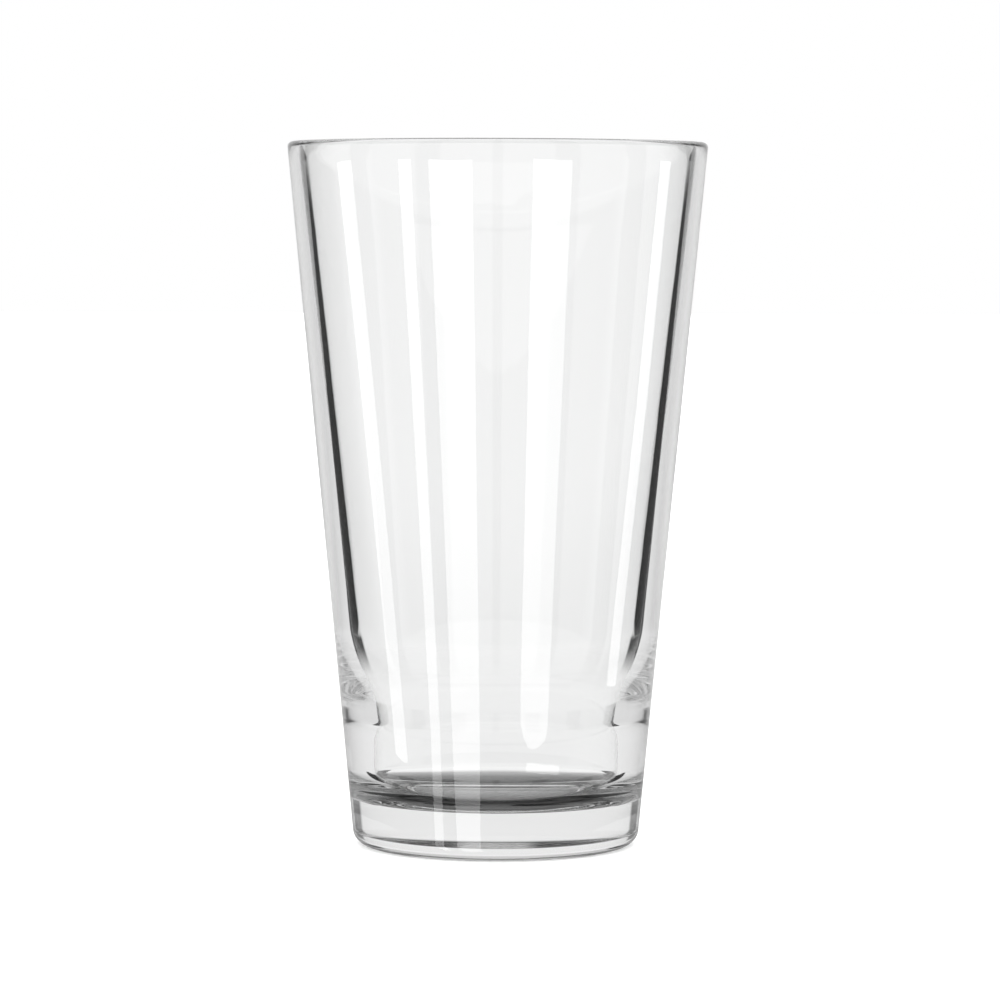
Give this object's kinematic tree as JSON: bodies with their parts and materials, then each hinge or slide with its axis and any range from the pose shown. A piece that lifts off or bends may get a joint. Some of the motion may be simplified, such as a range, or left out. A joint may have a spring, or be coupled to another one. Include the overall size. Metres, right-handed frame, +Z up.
{
  "type": "mixing glass",
  "caption": "Tapered clear bar mixing glass with a fire-polished rim, an internal stacking shoulder and a thick solid foot.",
  "frame": {"origin": "middle of the plane that the glass stands on, on its axis", "axes": "+Z up the axis, out of the mouth; X and Y are level, and the shape is the same all round"},
  "size_m": [0.0888, 0.0888, 0.1492],
  "materials": {
    "clear_glass": "clear pressed soda-lime glass, fire-polished, with a finely stippled bearing ring underneath"
  },
  "bodies": {
    "root": {"tumbler": "clear_glass"}
  },
  "joints": []
}
